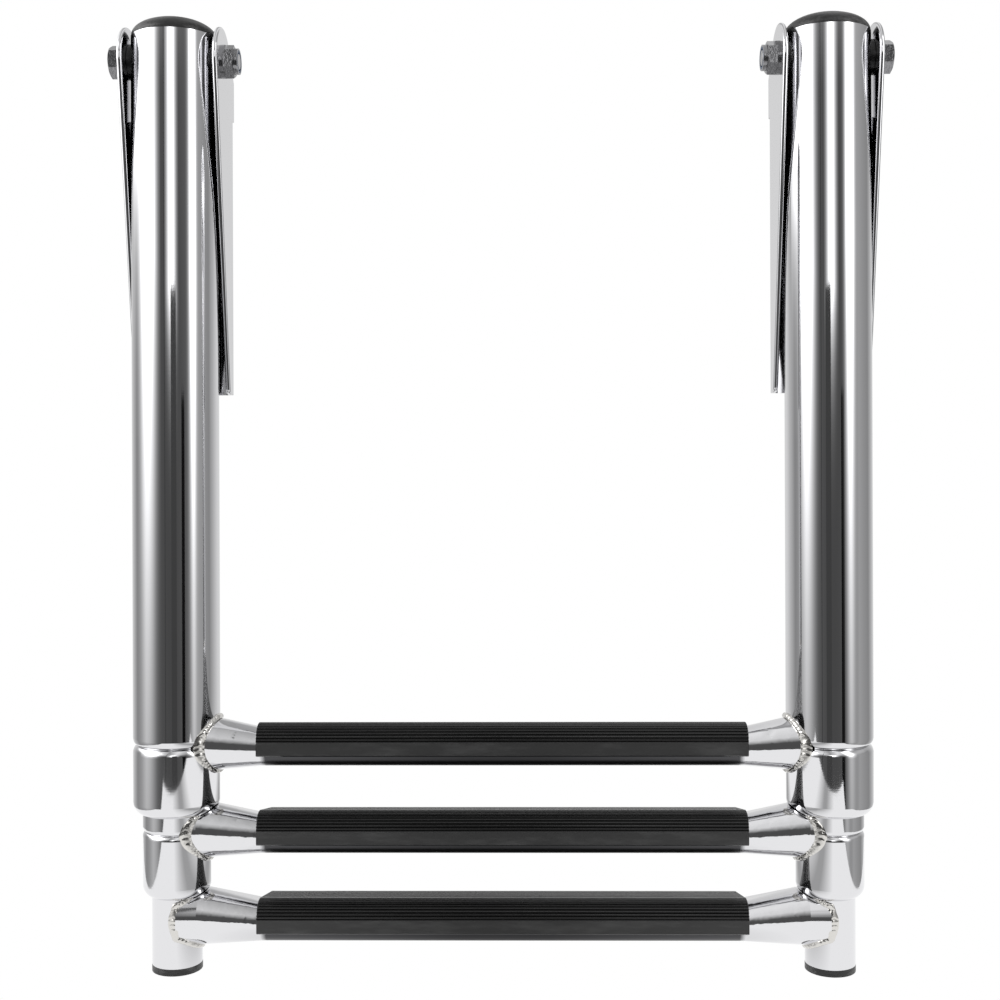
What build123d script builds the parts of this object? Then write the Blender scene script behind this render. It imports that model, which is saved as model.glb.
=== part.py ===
"""Three-step telescoping boarding ladder for a boat, closed, on its two hinge brackets.

Frame: +X across the ladder, +Y towards the boat, +Z up. The origin is the centre of the four screw
holes, on the plane where the two brackets meet the boat. Three pairs of tubes nest in one another.
Each pair carries a rung with a tread, and the outer pair hangs from a bolt through each bracket.
"""
from build123d import *
import math
import os

# ---------------------------------------------------------------- driving dimensions, millimetres
# Layout
rail_spacing = 291.0          # between the axes of the left and right rails
closed_step = 38.5            # rung to rung, ladder closed
open_step = 304.8             # rung to rung, ladder fully extended
running_gap = 0.05            # radial clearance of a bush or glide on the tube that slides in it
body_gap = 0.4                # clearance between sections that pass without guiding one another

# Rails
outer_diameter = 38.1
outer_to_middle = 8.1         # each tube's diameter over the next one's
middle_to_inner = 7.8
rail_wall = 1.2
outer_groove_height = 30.3    # groove and rung centre above the outer rail's lower end
middle_groove_height = 28.6
inner_rung_height = 20.7
outer_groove_width = 6.7
outer_groove_depth = 1.7
middle_groove_width = 4.4
middle_groove_depth = 1.2
roll_radius = 5.5             # curve of a rolled-in lower end
lip_gap = 0.3                 # between a rolled-in end and the tube inside it

# Glides and guides
glide_lip = 2.0               # the glide's rim over the tube's top end
glide_lip_width = 2.6
middle_glide_length = 23.35   # with its rim
inner_glide_length = 23.0
top_clearance = 7.0           # from the middle section's top to the pivot bolt
end_play = 0.3                # left between a glide and the groove that stops it
bush_end_gap = 0.2

# Rungs and treads
rung_diameter = 25.4
rung_wall = 1.5
flat_height = 16.2            # the flattened stretch under the tread
tread_tilt = 12.0             # degrees, down towards the boat
flat_drop = 2.0               # flattened stretch's centre below the round end's
tread_overhang = 2.0          # each end of the tread past the flattened stretch
round_inset = 0.1             # the rung is fully round this far inside the inner rail's surface
solid_end_length = 3.45       # of each rung, past the outer rail's surface
rung_end_offset = 2.0         # how near the rail's axis the coped ends reach
round_end_reach = 0.05        # the round end's outline is two half circles this far apart, halved
tread_length = 214.0
tread_cover = 2.2             # over the flattened stretch
nose_depth = 8.9              # from the vertical front face back to the flat top
tread_ledge = 5.57            # behind the flattened stretch
tread_band_top = 3.6          # smooth band's top, above the rung's centre
tread_band_height = 6.5
tread_lip_level = 4.5         # lips' lower edges, below the flattened stretch's centre
tread_lip_step = 1.0          # front lip's lower edge, back from its face
nose_run = 3.0                # how squarely the round nose leaves the flat top and the front face
nose_rise = 0.6
nose_drop = 2.4
weld_size = 2.4

# Caps and feet
cap_setback = 0.25            # cap's edge inside the rail's surface
cap_edge = 0.6                # short upright rim under the dome
cap_height = 8.6
dome_fullness = 0.55          # near a quarter ellipse
cap_spigot = 4.4
foot_edge = 3.0
foot_height = 3.9
foot_spigot = 12.0
spigot_wall = 2.0

# Brackets and pivots
plate = 2.3
cheek_clearance = 0.75        # between the rail and each cheek
bracket_bend = 3.5            # outside radius of the folded corners
rail_to_web = 0.6
cheek_radius = 15.0           # round the pivot bolt
cheek_back_angle = 40.0       # where the sloping back edge leaves the round top, degrees above level
cheek_foot_depth = 9.8        # cheek's depth at the bracket's lower end
cheek_foot_corner = 3.0
web_below_pivot = 22.0        # lets the rail swing right over the web's top edge
hole_spacing = 90.0           # upper screw hole to lower screw hole
hole_diameter = 6.6
countersink_diameter = 9.6
bracket_below_hole = 20.3     # lower screw hole to the bracket's lower end
pivot_above_hole = 38.0
spigot_clearance = 0.6        # from the bush's sleeve up to the cap's spigot
bolt_diameter = 8.0
bolt_hole_gap = 0.1
hex_across_flats = 13.0
bolt_head_height = 5.3
washer_rim = 3.4              # washer's radius over the bolt's
washer_thickness = 0.9
nut_height = 6.0
nut_collar_height = 1.9
nut_collar_wall = 0.7         # round the nylon insert
hex_chamfer = 0.5
bolt_end_chamfer = 0.7
insert_wall = 1.0             # round the bolt
insert_height = 1.4
bush_wall = 1.1
bush_flange_rim = 2.6         # flange's radius over the sleeve's
bush_sleeve_depth = 3.0       # sleeve's length inward from the rail's outer surface
cheek_gap = 0.15              # between a saddle bush and its cheek

# ---------------------------------------------------------------- places worked out from them
middle_diameter = outer_diameter - outer_to_middle
inner_diameter = middle_diameter - middle_to_inner
outer_radius = outer_diameter / 2
middle_radius = middle_diameter / 2
inner_radius = inner_diameter / 2
bolt_radius = bolt_diameter / 2
rail_x = rail_spacing / 2
rail_y = -(outer_radius + rail_to_web + plate)
pivot_z = hole_spacing / 2 + pivot_above_hole
bush_sleeve_diameter = bolt_diameter + 2 * (bolt_hole_gap + bush_wall)
outer_top = pivot_z + bush_sleeve_diameter / 2 + spigot_clearance + cap_spigot
travel = open_step - closed_step
middle_top = pivot_z - bolt_radius - top_clearance - glide_lip
middle_glide_bottom = middle_top + glide_lip - middle_glide_length
upper_rung_z = middle_glide_bottom - travel - end_play - outer_groove_width / 2
outer_bottom = upper_rung_z - outer_groove_height
middle_rung_z = upper_rung_z - closed_step
lower_rung_z = middle_rung_z - closed_step
middle_bottom = middle_rung_z - middle_groove_height
inner_bottom = lower_rung_z - inner_rung_height
inner_glide_bottom = middle_rung_z + middle_groove_width / 2 + end_play + travel
inner_top = inner_glide_bottom + inner_glide_length - glide_lip
bracket_bottom = -hole_spacing / 2 - bracket_below_hole
web_top = pivot_z - web_below_pivot
bracket_inside = outer_diameter + 2 * cheek_clearance
cheek_outside = bracket_inside / 2 + plate
flat_radius = flat_height / 2
flat_reach = (math.pi * (rung_diameter / 2 - flat_radius)) / 2   # keeps the tube's girth
flat_half_length = tread_length / 2 - tread_overhang
round_offset = inner_radius - round_inset
solid_end_offset = outer_radius + solid_end_length
tread_front = flat_radius + flat_reach + tread_cover
tread_top_front = tread_front - nose_depth
tread_rear = flat_radius + flat_reach + tread_ledge
cap_diameter = outer_diameter - 2 * cap_setback
washer_diameter = bolt_diameter + 2 * washer_rim
insert_diameter = bolt_diameter + 2 * insert_wall
nut_collar_diameter = insert_diameter + 2 * nut_collar_wall
bush_flange_diameter = bush_sleeve_diameter + 2 * bush_flange_rim
SIDES = (("left", -1), ("right", 1))


# ---------------------------------------------------------------- shared shapes
def upright(radius, low, high):
    """A cylinder about Z between two heights."""
    return Pos(0, 0, low) * Cylinder(radius, high - low, align=(Align.CENTER, Align.CENTER, Align.MIN))


def ring(outer, inner, low, high):
    """A plain upright sleeve."""
    return upright(outer, low, high) - upright(inner, low, high)


def crossways(radius, start, end):
    """A cylinder about X between two places, at the origin's height."""
    body = Cylinder(radius, end - start, align=(Align.CENTER, Align.CENTER, Align.MIN))
    return Pos(start, 0, 0) * Rot(0, 90, 0) * body


def spun(edges):
    """Turn a closed outline, drawn as radius and height, once round Z."""
    return revolve(Plane.XZ * make_face(Curve() + edges), Axis.Z)


def roll_angle(radius, lip):
    """Degrees that a rolled end turns through before its inner corner reaches the lip's radius."""
    return math.degrees(math.acos((lip - radius + roll_radius) / (roll_radius - rail_wall)))


def roll_start(radius, lip, bottom):
    """Height at which the straight tube ends and the rolled-in end begins."""
    return bottom + roll_radius * math.sin(math.radians(roll_angle(radius, lip)))


def rail_tube(radius, top, bottom, lip, groove_z, width, depth):
    """A tube whose lower end is rolled in to a lip, with one rolled groove all round it."""
    half = width / 2
    shoulder = (half ** 2 + depth ** 2) / (2 * depth)
    swing = math.degrees(math.asin(half / shoulder))
    turn = roll_angle(radius, lip)
    start = roll_start(radius, lip, bottom)
    groove_x = radius - shoulder
    roll_x = radius - roll_radius
    outside = [
        CenterArc((groove_x, groove_z + half), shoulder, 0, -swing),
        CenterArc((groove_x, groove_z - half), shoulder, swing, -swing),
        CenterArc((roll_x, start), roll_radius, 0, -turn),
    ]
    inside = [
        CenterArc((roll_x, start), roll_radius - rail_wall, -turn, turn),
        CenterArc((groove_x, groove_z - half), shoulder - rail_wall, 0, swing),
        CenterArc((radius - depth, groove_z), rail_wall, 180 + swing, -2 * swing),
        CenterArc((groove_x, groove_z + half), shoulder - rail_wall, -swing, swing),
    ]
    edges = [
        Line((radius - rail_wall, top), (radius, top)),
        Line((radius, top), outside[0] @ 0),
        outside[0],
        outside[1],
        Line(outside[1] @ 1, outside[2] @ 0),
        outside[2],
        Line(outside[2] @ 1, inside[0] @ 0),
        inside[0],
        Line(inside[0] @ 1, inside[1] @ 0),
        inside[1],
        inside[2],
        inside[3],
        Line(inside[3] @ 1, (radius - rail_wall, top)),
    ]
    return spun(edges)


def end_envelope(radius, lip, bottom):
    """The space a rolled-in end fills, with body_gap all round, for clearing the rung below it."""
    reach = radius + body_gap
    roll = roll_radius + body_gap
    centre_z = roll_start(radius, lip, bottom)
    arc = CenterArc((reach - roll, centre_z), roll, 0, -90)
    height = centre_z + closed_step
    edges = [
        arc,
        Line(arc @ 1, (0, centre_z - roll)),
        Line((0, centre_z - roll), (0, height)),
        Line((0, height), (reach, height)),
        Line((reach, height), arc @ 0),
    ]
    return spun(edges)


def rung_section(x, radius, reach, drop):
    """Rounded bar outline across X: two half circles, reach each side of the middle, tilted."""
    slot = SlotCenterToCenter(2 * reach, 2 * radius)
    return Pos(x, 0, -drop) * Rot(0, 90, 0) * Rot(0, 0, 90 - tread_tilt) * slot


def rung_state(offset):
    """Radius, reach and drop of the rung's outline at a distance from the rail's axis."""
    flat_offset = rail_x - flat_half_length
    share = (flat_offset - max(offset, round_offset)) / (flat_offset - round_offset)
    radius = flat_radius + share * (rung_diameter / 2 - flat_radius)
    return radius, flat_reach * (1 - share) + round_end_reach * share, flat_drop * (1 - share)


def rung_bar(grow, end_offset):
    """The rung's outer shape grown by an amount, from one end offset to the other."""
    stations = [rail_x - end_offset, rail_x - round_offset, flat_half_length]
    if end_offset >= round_offset:
        stations.pop(1)
    sections = []
    for x in stations:
        radius, reach, drop = rung_state(rail_x - x)
        sections.append((x, radius + grow, reach, drop))
    bar = extrude(rung_section(-flat_half_length, *sections[-1][1:]), 2 * flat_half_length)
    for first, second in zip(sections[:-1], sections[1:]):
        for sign in (-1, 1):
            ends = [rung_section(sign * x, *state) for x, *state in (first, second)]
            bar += loft(ends, ruled=True)
    return bar


# ---------------------------------------------------------------- rails and what runs in them
def outer_rail():
    lip = middle_radius + lip_gap
    tube = rail_tube(outer_radius, outer_top, outer_bottom, lip,
                     upper_rung_z, outer_groove_width, outer_groove_depth)
    pivot_hole = crossways(bush_sleeve_diameter / 2, -outer_diameter, outer_diameter)
    return tube - Pos(0, 0, pivot_z) * pivot_hole


def middle_rail():
    lip = inner_radius + lip_gap
    return rail_tube(middle_radius, middle_top, middle_bottom, lip,
                     middle_rung_z, middle_groove_width, middle_groove_depth)


def inner_rail():
    return ring(inner_radius, inner_radius - rail_wall, inner_bottom, inner_top)


def guide(rail_radius, tube_radius, lip, bottom, groove_z, groove_width):
    """Bush trapped between a rail's groove and its rolled-in end, round the tube that slides."""
    low = roll_start(rail_radius, lip, bottom) + bush_end_gap
    high = groove_z - groove_width / 2 - bush_end_gap
    return ring(rail_radius - rail_wall, tube_radius + running_gap, low, high)


def glide(tube_radius, rail_radius, low, tube_top):
    """Collar over a tube's top end, sliding in the rail outside it."""
    outside = rail_radius - rail_wall - running_gap
    sleeve = ring(outside, tube_radius, low, tube_top)
    rim = ring(outside, tube_radius - glide_lip_width, tube_top, tube_top + glide_lip)
    return sleeve + rim


def top_cap():
    """Domed plug: a deep round crown on a short upright edge, and a hollow spigot in the bore."""
    radius = cap_diameter / 2
    bore = outer_radius - rail_wall
    edge_z = outer_top + cap_edge
    low = outer_top - cap_spigot
    rise = cap_height - cap_edge
    arc = Bezier(
        (radius, edge_z),
        (radius, edge_z + dome_fullness * rise),
        (dome_fullness * radius, edge_z + rise),
        (0, edge_z + rise),
    )
    edges = [
        arc,
        Polyline(
            (0, edge_z + rise),
            (0, outer_top),
            (bore - spigot_wall, outer_top),
            (bore - spigot_wall, low),
            (bore, low),
            (bore, outer_top),
            (radius, outer_top),
            arc @ 0,
        ),
    ]
    return spun(edges)


def foot():
    """Bumper plug: slightly domed pad below the tube's end, and a hollow spigot in its bore."""
    bore = inner_radius - rail_wall
    edge_z = inner_bottom - foot_edge
    rise = foot_height - foot_edge
    crown = (inner_radius ** 2 + rise ** 2) / (2 * rise)
    sweep = math.degrees(math.asin(inner_radius / crown))
    arc = CenterArc((0, edge_z - rise + crown), crown, 270, sweep)
    top = inner_bottom + foot_spigot
    edges = [
        arc,
        Polyline(
            arc @ 1,
            (inner_radius, inner_bottom),
            (bore, inner_bottom),
            (bore, top),
            (bore - spigot_wall, top),
            (bore - spigot_wall, inner_bottom),
            (0, inner_bottom),
            (0, edge_z - rise),
        ),
    ]
    return spun(edges)


# ---------------------------------------------------------------- rungs, welds and treads
def clear_of_rails(body, rung_z, tube_radius, above):
    """Cope a rung or weld to its own rails and keep it clear of the rails above."""
    for _, sign in SIDES:
        body -= Pos(sign * rail_x, 0, 0) * upright(tube_radius, -rung_diameter, rung_diameter)
        if above:
            body -= Pos(sign * rail_x, 0, -rung_z) * end_envelope(*above)
    return body


def rung(rung_z, tube_radius, above):
    """Tube flattened under the tread and round at its ends, which are coped to the rails."""
    bar = rung_bar(0, rung_end_offset)
    hollow = rung_bar(-rung_wall, solid_end_offset)
    body = clear_of_rails(bar - hollow, rung_z, tube_radius, above)
    return Pos(0, rail_y, rung_z) * body


def weld(sign, rung_z, tube_radius, above):
    """Fillet bead round the joint, within weld_size of both the rung and the rail."""
    grown = rung_bar(weld_size, -weld_size)
    near_rail = upright(tube_radius + weld_size, -rung_diameter, rung_diameter)
    bead = grown & (Pos(sign * rail_x, 0, 0) * near_rail)
    bead -= rung_bar(0, rung_end_offset)
    return Pos(0, rail_y, rung_z) * clear_of_rails(bead, rung_z, tube_radius, above)


def tread(rung_z):
    """Moulding over the flattened stretch: flat tilted top, round nose, upright band, two lips."""
    slope = math.radians(tread_tilt)
    top_level = flat_radius + tread_cover

    def from_flat(along, up):
        """Place given along and square to the tilted top, from the flattened stretch's centre."""
        y = along * math.cos(slope) + up * math.sin(slope)
        return (y, up * math.cos(slope) - along * math.sin(slope) - flat_drop)

    def top_height(y):
        return (top_level - y * math.sin(slope)) / math.cos(slope) - flat_drop

    band_bottom = tread_band_top - tread_band_height
    rear_top = (tread_rear, top_height(tread_rear))
    rear_along = tread_rear * math.cos(slope) - (rear_top[1] + flat_drop) * math.sin(slope)
    front_top = (-tread_top_front, top_height(-tread_top_front))
    nose = Bezier(
        front_top,
        (-tread_front + nose_run, front_top[1] + nose_rise),
        (-tread_front, front_top[1] - nose_drop),
        (-tread_front, tread_band_top),
    )
    sides = Polyline(
        (-tread_front, tread_band_top),
        (-tread_front, band_bottom),
        from_flat(-flat_radius - flat_reach + tread_lip_step, -tread_lip_level),
        from_flat(rear_along, -tread_lip_level),
        rear_top,
        front_top,
    )
    outline = Plane.YZ * make_face(Curve() + [nose, sides])
    body = Pos(-tread_length / 2, 0, 0) * extrude(outline, tread_length, dir=(1, 0, 0))
    body -= rung_bar(0, round_offset)
    return Pos(0, rail_y, rung_z) * body


# ---------------------------------------------------------------- brackets and pivots
def cheek_outline():
    """Side view of the bracket: round top on the pivot, sloping back, front tapering down."""
    angle = math.radians(cheek_back_angle)
    back_top = (0, pivot_z + (cheek_radius + rail_y * math.cos(angle)) / math.sin(angle))
    front_foot = (-cheek_foot_depth, bracket_bottom)
    away = (front_foot[0] - rail_y, front_foot[1] - pivot_z)
    aim = math.atan2(away[1], away[0]) - math.acos(cheek_radius / math.hypot(*away))
    turn = math.degrees(aim) % 360 - cheek_back_angle
    arc = CenterArc((rail_y, pivot_z), cheek_radius, cheek_back_angle, turn)
    edges = [
        arc,
        Line(arc @ 1, front_foot),
        Line(front_foot, (0, bracket_bottom)),
        Line((0, bracket_bottom), back_top),
        Line(back_top, arc @ 0),
    ]
    outline = make_face(Curve() + edges)
    corner = outline.vertices().sort_by(Axis.Y)[:2].sort_by(Axis.X)[0]
    return Plane.YZ * fillet(corner, cheek_foot_corner)


def bracket():
    """One folded plate: two cheeks beside the rail and, below the pivot, a web behind it."""
    depth = cheek_radius - rail_y
    middle_y = -depth / 2
    outside = Pos(0, middle_y) * Rectangle(2 * cheek_outside, depth)
    outside = fillet(outside.vertices().group_by(Axis.Y)[-1], bracket_bend)
    inside = Pos(0, middle_y - plate) * Rectangle(bracket_inside, depth)
    inside = fillet(inside.vertices().group_by(Axis.Y)[-1], bracket_bend - plate)
    folded = extrude(outside - inside, web_top - bracket_bottom)
    straight = Rectangle(2 * cheek_outside, depth) - Rectangle(bracket_inside, depth)
    blank = Pos(0, 0, bracket_bottom) * folded
    blank += Pos(0, middle_y, web_top) * extrude(straight, pivot_z + cheek_radius - web_top)
    side = Pos(-cheek_outside, 0, 0) * extrude(cheek_outline(), 2 * cheek_outside, dir=(1, 0, 0))
    body = blank & side
    bolt_hole = crossways(bolt_radius + bolt_hole_gap, -2 * cheek_outside, 2 * cheek_outside)
    body -= Pos(0, rail_y, pivot_z) * bolt_hole
    sink = (countersink_diameter - hole_diameter) / 2
    for z in (-hole_spacing / 2, hole_spacing / 2):
        body -= Pos(0, -plate / 2, z) * Rot(90, 0, 0) * Cylinder(hole_diameter / 2, 2 * plate)
        cone = Cone(hole_diameter / 2, countersink_diameter / 2, sink)
        body -= Pos(0, -plate + sink / 2, z) * Rot(90, 0, 0) * cone
    return body


def hexagon(height):
    """Hexagonal prism about X from zero, its far end's corners rounded off."""
    corner = hex_across_flats / math.sqrt(3)
    prism = extrude(RegularPolygon(corner, 6), height)
    turned = Cylinder(corner, height, align=(Align.CENTER, Align.CENTER, Align.MIN))
    turned = chamfer(turned.edges().group_by(Axis.Z)[-1], hex_chamfer, 2 * hex_chamfer)
    return Rot(0, 90, 0) * (prism & turned)


def pivot_bolt():
    """Hex-head bolt, head outboard. Built for the right side: outboard is +X."""
    head_x = cheek_outside + washer_thickness
    end_x = -(cheek_outside + washer_thickness + nut_height)
    shank = crossways(bolt_radius, end_x, head_x)
    shank = chamfer(shank.edges().group_by(Axis.X)[0], bolt_end_chamfer)
    return shank + Pos(head_x, 0, 0) * hexagon(bolt_head_height)


def washer(inner_face):
    return (crossways(washer_diameter / 2, inner_face, inner_face + washer_thickness)
            - crossways(bolt_radius, inner_face, inner_face + washer_thickness))


def lock_nut():
    """Hex nut with a round collar on its outer end that holds the insert. Built pointing to -X."""
    hex_height = nut_height - nut_collar_height
    body = Rot(0, 0, 180) * hexagon(hex_height)
    body += crossways(nut_collar_diameter / 2, -nut_height, -hex_height)
    body -= crossways(bolt_radius, -nut_height, 0)
    body -= crossways(insert_diameter / 2, -nut_height, -nut_height + insert_height)
    return Pos(-cheek_outside - washer_thickness, 0, 0) * body


def lock_insert():
    start = -cheek_outside - washer_thickness - nut_height
    return (crossways(insert_diameter / 2, start, start + insert_height)
            - crossways(bolt_radius, start, start + insert_height))


def saddle_bush(outward):
    """Bush for one side of the rail: sleeve in the wall's hole, flange saddled on the tube."""
    face = bracket_inside / 2 - cheek_gap
    sleeve = crossways(bush_sleeve_diameter / 2, outer_radius - bush_sleeve_depth, face)
    flange = crossways(bush_flange_diameter / 2, outer_radius - bush_sleeve_depth, face)
    flange -= upright(outer_radius, -outer_diameter, outer_diameter)
    bore = crossways(bolt_radius + running_gap, 0, outer_diameter)
    bush = sleeve + flange - bore
    return bush if outward > 0 else mirror(bush, Plane.YZ)


# ---------------------------------------------------------------- the whole ladder
def ladder():
    """Every piece by name, in place, with the ladder closed and hanging against its brackets."""
    nodes = {}
    outer_lip = middle_radius + lip_gap
    middle_lip = inner_radius + lip_gap
    on_rail = {
        "outer_rail": outer_rail(),
        "middle_rail": middle_rail(),
        "inner_rail": inner_rail(),
        "outer_guide": guide(outer_radius, middle_radius, outer_lip, outer_bottom,
                             upper_rung_z, outer_groove_width),
        "middle_guide": guide(middle_radius, inner_radius, middle_lip, middle_bottom,
                              middle_rung_z, middle_groove_width),
        "middle_glide": glide(middle_radius, outer_radius, middle_glide_bottom, middle_top),
        "inner_glide": glide(inner_radius, middle_radius, inner_glide_bottom, inner_top),
        "top_cap": top_cap(),
        "foot": foot(),
    }
    on_pivot = {
        "pivot_bolt": pivot_bolt(),
        "head_washer": washer(cheek_outside),
        "nut_washer": washer(-cheek_outside - washer_thickness),
        "lock_nut": lock_nut(),
        "lock_insert": lock_insert(),
        "outboard_bush": saddle_bush(1),
        "inboard_bush": saddle_bush(-1),
    }
    for side, sign in SIDES:
        nodes[side + "_bracket"] = Pos(sign * rail_x, 0, 0) * bracket()
        for name, piece in on_rail.items():
            nodes[f"{side}_{name}"] = Pos(sign * rail_x, rail_y, 0) * piece
        for name, piece in on_pivot.items():
            turned = piece if sign > 0 else mirror(piece, Plane.YZ)
            nodes[f"{side}_{name}"] = Pos(sign * rail_x, rail_y, pivot_z) * turned
    steps = (
        ("upper", upper_rung_z, outer_radius, None),
        ("middle", middle_rung_z, middle_radius, (outer_radius, outer_lip, outer_bottom)),
        ("lower", lower_rung_z, inner_radius, (middle_radius, middle_lip, middle_bottom)),
    )
    for name, z, tube_radius, above in steps:
        nodes[name + "_rung"] = rung(z, tube_radius, above)
        nodes[name + "_tread"] = tread(z)
        for side, sign in SIDES:
            nodes[f"{side}_{name}_weld"] = weld(sign, z, tube_radius, above)
    return nodes


os.makedirs("parts", exist_ok=True)
for node, shape in ladder().items():
    export_step(shape, f"parts/{node}.step")
print("closed height", round(outer_top + cap_height - inner_bottom + foot_height, 1), "travel", travel)
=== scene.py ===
# %% [markdown]
# # A telescoping boarding ladder
#
# The ladder hangs from two folded steel brackets. Three pairs of polished tubes nest in one
# another, and each pair carries a rung: a steel tube pressed flat under a black ribbed tread.
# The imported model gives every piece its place, size and motion. This lesson gives the pieces
# that show their final surface and finish, and leaves every place as it is.

# %% Load the frame
import math

import bmesh
import bpy
import numpy as np
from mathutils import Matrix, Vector


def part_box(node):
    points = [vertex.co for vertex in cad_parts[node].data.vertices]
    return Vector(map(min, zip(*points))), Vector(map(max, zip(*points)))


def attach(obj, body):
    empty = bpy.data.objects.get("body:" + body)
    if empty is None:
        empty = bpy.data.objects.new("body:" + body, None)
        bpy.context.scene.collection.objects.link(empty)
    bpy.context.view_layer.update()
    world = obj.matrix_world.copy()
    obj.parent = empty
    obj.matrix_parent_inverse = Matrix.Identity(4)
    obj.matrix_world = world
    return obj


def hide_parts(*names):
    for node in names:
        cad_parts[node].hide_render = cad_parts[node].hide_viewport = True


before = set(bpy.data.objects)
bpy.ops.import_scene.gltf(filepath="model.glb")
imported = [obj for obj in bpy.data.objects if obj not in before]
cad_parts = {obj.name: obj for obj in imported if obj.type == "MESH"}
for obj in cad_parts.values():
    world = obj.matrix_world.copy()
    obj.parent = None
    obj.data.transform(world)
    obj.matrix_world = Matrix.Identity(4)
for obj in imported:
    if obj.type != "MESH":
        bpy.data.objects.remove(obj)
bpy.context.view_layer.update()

# %% [markdown]
# ## Where things are
#
# Every later step needs the axes of the rails and the heights of the rungs. They come from
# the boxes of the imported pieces, so nothing here has to be fitted by hand: a tube's axis is
# the middle of its box, and a rung's axis is one radius above the rung's lowest point.

# %% Places read from the frame
MM = 0.001
SIDES = {"left": -1, "right": 1}
STEPS = ("upper", "middle", "lower")
RAIL_OF = {"upper": "outer", "middle": "middle", "lower": "inner"}
BODY_OF = {"upper": "outer_section", "middle": "middle_section", "lower": "lower_section"}


def centre(node):
    """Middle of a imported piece's box."""
    low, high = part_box(node)
    return (low + high) / 2


def reach(node, axis):
    """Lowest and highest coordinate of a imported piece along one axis."""
    low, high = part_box(node)
    return low[axis], high[axis]


RAIL_X = centre("right_outer_rail").x
RAIL_Y = centre("right_outer_rail").y
RADIUS = {name: (reach(f"right_{name}_rail", 0)[1] - reach(f"right_{name}_rail", 0)[0]) / 2
          for name in ("outer", "middle", "inner")}
SPAN = {name: reach(f"right_{name}_rail", 2) for name in ("outer", "middle", "inner")}
RUNG_RADIUS_MM = 12.7          # of a rung where it is round, at its rails
ROUND_RADIUS = RUNG_RADIUS_MM * MM      # the same in metres
RUNG_Z = {step: reach(f"{step}_rung", 2)[0] + ROUND_RADIUS for step in STEPS}
print("rail axis", round(RAIL_X, 4), round(RAIL_Y, 4))
print("rung heights", {step: round(z, 4) for step, z in RUNG_Z.items()})

# %% [markdown]
# ## The camera
#
# The ladder is seen almost square on from close by, with the eye level with the middle of the
# rails. The camera stands a hair to the right of the middle. It is level, which keeps the
# rails upright, and a small downward shift of the lens brings the feet into the frame.

# %% Camera
CAMERA_DISTANCE = 0.622        # from the middle of the rails' plane
CAMERA_HEIGHT = -0.092
CAMERA_ASIDE = -0.0005         # along X, from where the turn alone would put it
CAMERA_TURN = math.radians(0.77)
CAMERA_ROLL = math.radians(0.2)
SENSOR, LENS = 36.0, 50.2      # millimetres
LENS_SHIFT = -0.0478           # down, as a share of the picture's width

camera_data = bpy.data.cameras.new("camera")
camera_data.sensor_width = SENSOR
camera_data.lens = LENS
camera_data.shift_y = LENS_SHIFT
camera_data.clip_start = 0.01
camera = bpy.data.objects.new("camera", camera_data)
camera.location = (CAMERA_DISTANCE * math.sin(CAMERA_TURN) + CAMERA_ASIDE,
                   RAIL_Y - CAMERA_DISTANCE * math.cos(CAMERA_TURN), CAMERA_HEIGHT)
camera.rotation_euler = (math.radians(90), CAMERA_ROLL, CAMERA_TURN)
bpy.context.scene.collection.objects.link(camera)
bpy.context.scene.camera = camera
print("camera", [round(v, 4) for v in camera.location])

# %% [markdown]
# ## Colours and nodes
#
# Colours are written as the hex values a screen shows. A shader works in linear light, so
# one function turns them. Another adds a node with its settings and links, and the rest are
# the few nodes that come back again and again.

# %% Colour and node helpers
def linear(hex_colour):
    """An sRGB hex colour as linear red, green, blue and alpha."""
    values = [int(hex_colour[i:i + 2], 16) / 255 for i in (1, 3, 5)]
    return (*[v / 12.92 if v <= 0.04045 else ((v + 0.055) / 1.055) ** 2.4 for v in values], 1.0)


def add(tree, kind, settings=None, **links):
    """Add a shader node. Settings are its own properties, links are sockets fed or set: From_Min
    is the socket called From Min, and _1 is socket number 1, for sockets that share a name."""
    node = tree.nodes.new(kind)
    for name, value in (settings or {}).items():
        setattr(node, name, value)
    for name, value in links.items():
        socket = node.inputs[int(name[1:]) if name[0] == "_" else name.replace("_", " ")]
        if isinstance(value, bpy.types.NodeSocket):
            tree.links.new(value, socket)
        else:
            socket.default_value = value
    return node


def calculated(tree, operation, *values):
    """The result of one sum on values that are numbers or sockets."""
    node = add(tree, "ShaderNodeMath", {"operation": operation},
               **{f"_{i}": value for i, value in enumerate(values)})
    return node.outputs[0]


def ranged(tree, value, start, end, first=0.0, last=1.0):
    """A value carried from the range start to end on to first to last, and held at both."""
    return add(tree, "ShaderNodeMapRange", Value=value, From_Min=start, From_Max=end,
               To_Min=first, To_Max=last).outputs[0]


def blended(tree, share, first, second):
    """A colour between two others: the first where share is 0, the second where it is 1."""
    return add(tree, "ShaderNodeMix", {"data_type": "RGBA"}, _0=share, _6=first, _7=second).outputs[2]


def own_place(tree):
    """An object's own coordinates, one socket for each axis."""
    place = add(tree, "ShaderNodeTexCoord").outputs["Object"]
    return add(tree, "ShaderNodeSeparateXYZ", _0=place).outputs


def material(name, hex_colour, roughness, metallic=0.0):
    """A new material, with its node tree and its Principled shader."""
    made = bpy.data.materials.new(name)
    made.use_nodes = True
    shader = made.node_tree.nodes["Principled BSDF"]
    shader.inputs["Base Color"].default_value = linear(hex_colour)
    shader.inputs["Roughness"].default_value = roughness
    shader.inputs["Metallic"].default_value = metallic
    return made, made.node_tree, shader


# %% [markdown]
# ## The studio
#
# Polished steel has no look of its own: it shows the room. So the room is built with care,
# and only the reflections see it. There is a table just under the feet, grey along its middle
# and white at its sides. There is a wide soft light on the left with a high pale wall beyond
# it, a narrower light on the right, a far window high behind the camera, and dark stands
# between them. The backdrop and the floor stay plain white.

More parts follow.
